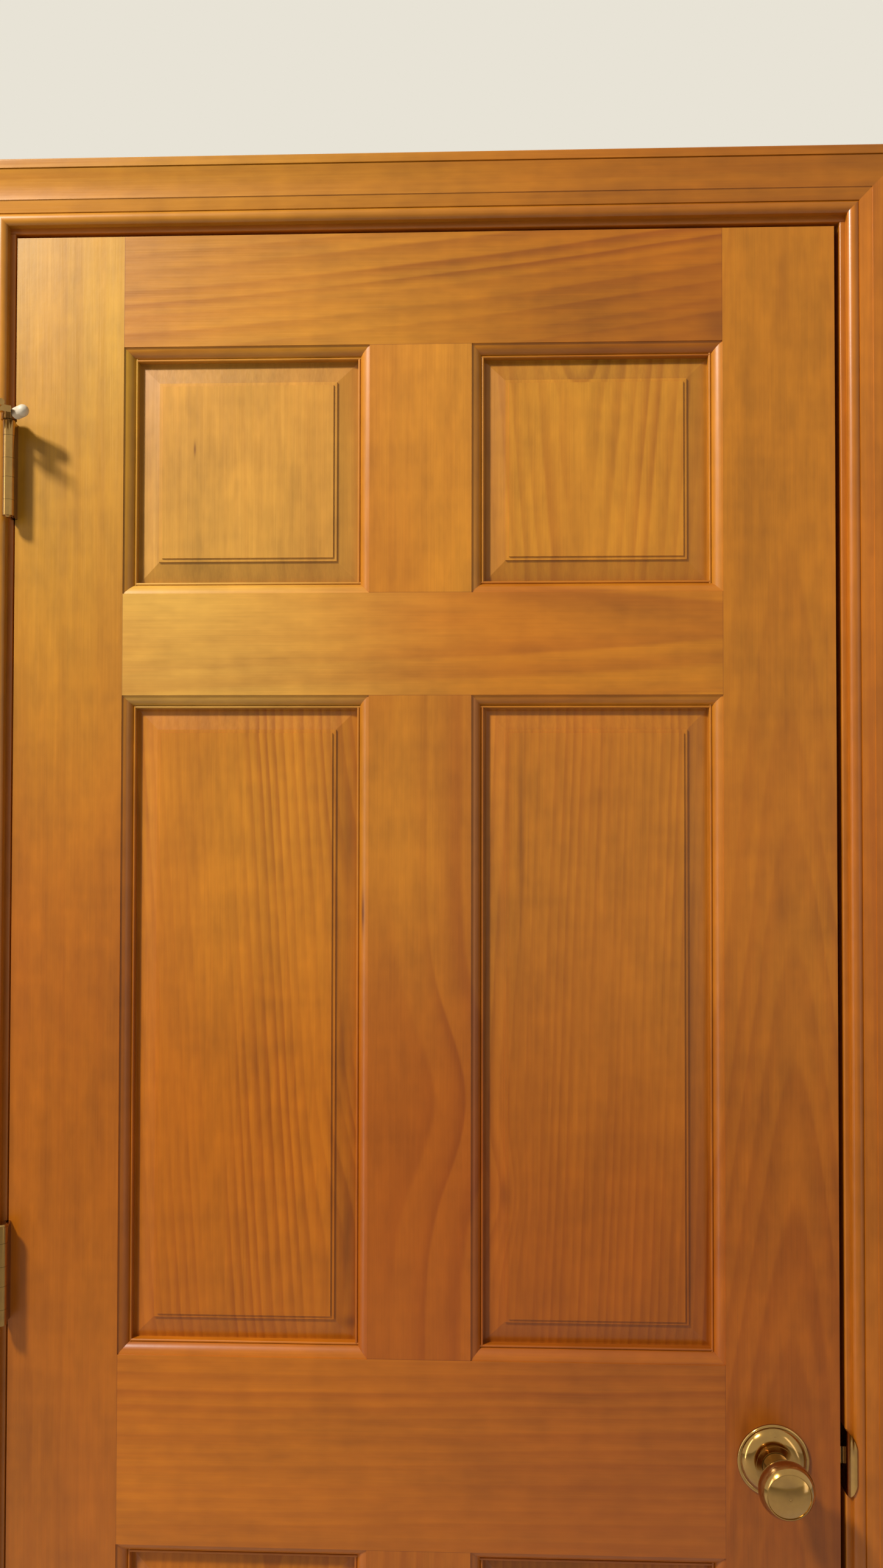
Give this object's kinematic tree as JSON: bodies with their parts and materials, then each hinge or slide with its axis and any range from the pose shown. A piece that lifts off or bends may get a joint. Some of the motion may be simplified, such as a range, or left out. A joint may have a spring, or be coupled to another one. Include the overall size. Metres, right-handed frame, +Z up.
{
  "type": "panelled door",
  "caption": "Panelled pine door hung in its jambs and moulded casings, with loose-pin butt hinges, turning knobs with a sprung latch, and a door stop on a hinge pin.",
  "frame": {"origin": "centre of the bottom of the bounding box: the middle of the opening, on the floor", "axes": "+Z up; +X to the right, from the hinge jamb to the strike jamb, seen from the side that the door opens towards; +Y into the wall, away from that side"},
  "size_m": [0.8932, 0.1935, 2.1103],
  "materials": {
    "door_pine": "satin varnish",
    "trim_pine": "satin varnish",
    "dowel_beech": "bare",
    "brass": "polished",
    "steel": "zinc plated",
    "white_rubber": "matt"
  },
  "bodies": {
    "frame": {"hinge_jamb": "trim_pine", "strike_jamb": "trim_pine", "head_jamb": "trim_pine", "hinge_side_stop": "trim_pine", "strike_side_stop": "trim_pine", "head_stop": "trim_pine", "front_casing_left": "trim_pine", "front_casing_right": "trim_pine", "front_casing_head": "trim_pine", "back_casing_left": "trim_pine", "back_casing_right": "trim_pine", "back_casing_head": "trim_pine", "top_hinge_frame_leaf": "brass", "middle_hinge_frame_leaf": "brass", "bottom_hinge_frame_leaf": "brass", "top_hinge_pin": "brass", "middle_hinge_pin": "brass", "bottom_hinge_pin": "brass", "hinge_frame_screws": "brass", "strike_plate": "brass", "strike_screws": "brass"},
    "door": {"hinge_stile": "door_pine", "lock_stile": "door_pine", "top_rail": "door_pine", "frieze_rail": "door_pine", "lock_rail": "door_pine", "bottom_rail": "door_pine", "top_mullion": "door_pine", "middle_mullion": "door_pine", "bottom_mullion": "door_pine", "top_left_panel": "door_pine", "top_right_panel": "door_pine", "middle_left_panel": "door_pine", "middle_right_panel": "door_pine", "bottom_left_panel": "door_pine", "bottom_right_panel": "door_pine", "rail_dowels": "dowel_beech", "mullion_dowels": "dowel_beech", "top_hinge_door_leaf": "brass", "middle_hinge_door_leaf": "brass", "bottom_hinge_door_leaf": "brass", "hinge_door_screws": "brass", "latch_case": "steel", "latch_faceplate": "brass", "latch_screws": "brass", "front_rose": "brass", "back_rose": "brass", "rose_bolts": "steel"},
    "knob": {"front_knob": "brass", "back_knob": "brass", "knob_spindle": "steel", "latch_hub": "steel", "knob_rings": "steel"},
    "latch": {"latch_bolt": "brass", "latch_slide": "steel", "latch_spring": "steel"},
    "door_stop": {"stop_bracket": "brass", "stop_bumper": "white_rubber"},
    "stop_rod": {"stop_rod": "brass", "stop_pad": "white_rubber"}
  },
  "joints": [
    {"name": "door_swing", "type": "hinge", "parent": "frame", "child": "door", "pos_m": [-0.3835, -0.05075, 1.028], "axis": [0, 0, -1], "range_deg": [0, 100]},
    {"name": "knob_turn", "type": "hinge", "parent": "door", "child": "knob", "pos_m": [0.3193, -0.01925, 0.918], "axis": [0, 1, 0], "range_deg": [0, 55], "stiffness_Nm_per_rad": 0.3, "springref_deg": -28.65},
    {"name": "latch_slide", "type": "slide", "parent": "door", "child": "latch", "axis": [-1, 0, 0], "range_m": [0, 0.0105], "deforming": ["latch_spring"]},
    {"name": "stop_turn", "type": "hinge", "parent": "frame", "child": "door_stop", "pos_m": [-0.3835, -0.05075, 1.8695], "axis": [0, 0, -1], "range_deg": [0, 40.62]},
    {"name": "rod_adjust", "type": "slide", "parent": "door_stop", "child": "stop_rod", "axis": [-0.651, 0.7591, 0], "range_m": [-0.008, 0]}
  ],
  "couplings": [
    {"joint": "latch_slide", "follows": "knob_turn", "m_per_rad": 0.010938},
    {"joint": "stop_turn", "follows": "door_swing", "ratio": 0.40615}
  ]
}
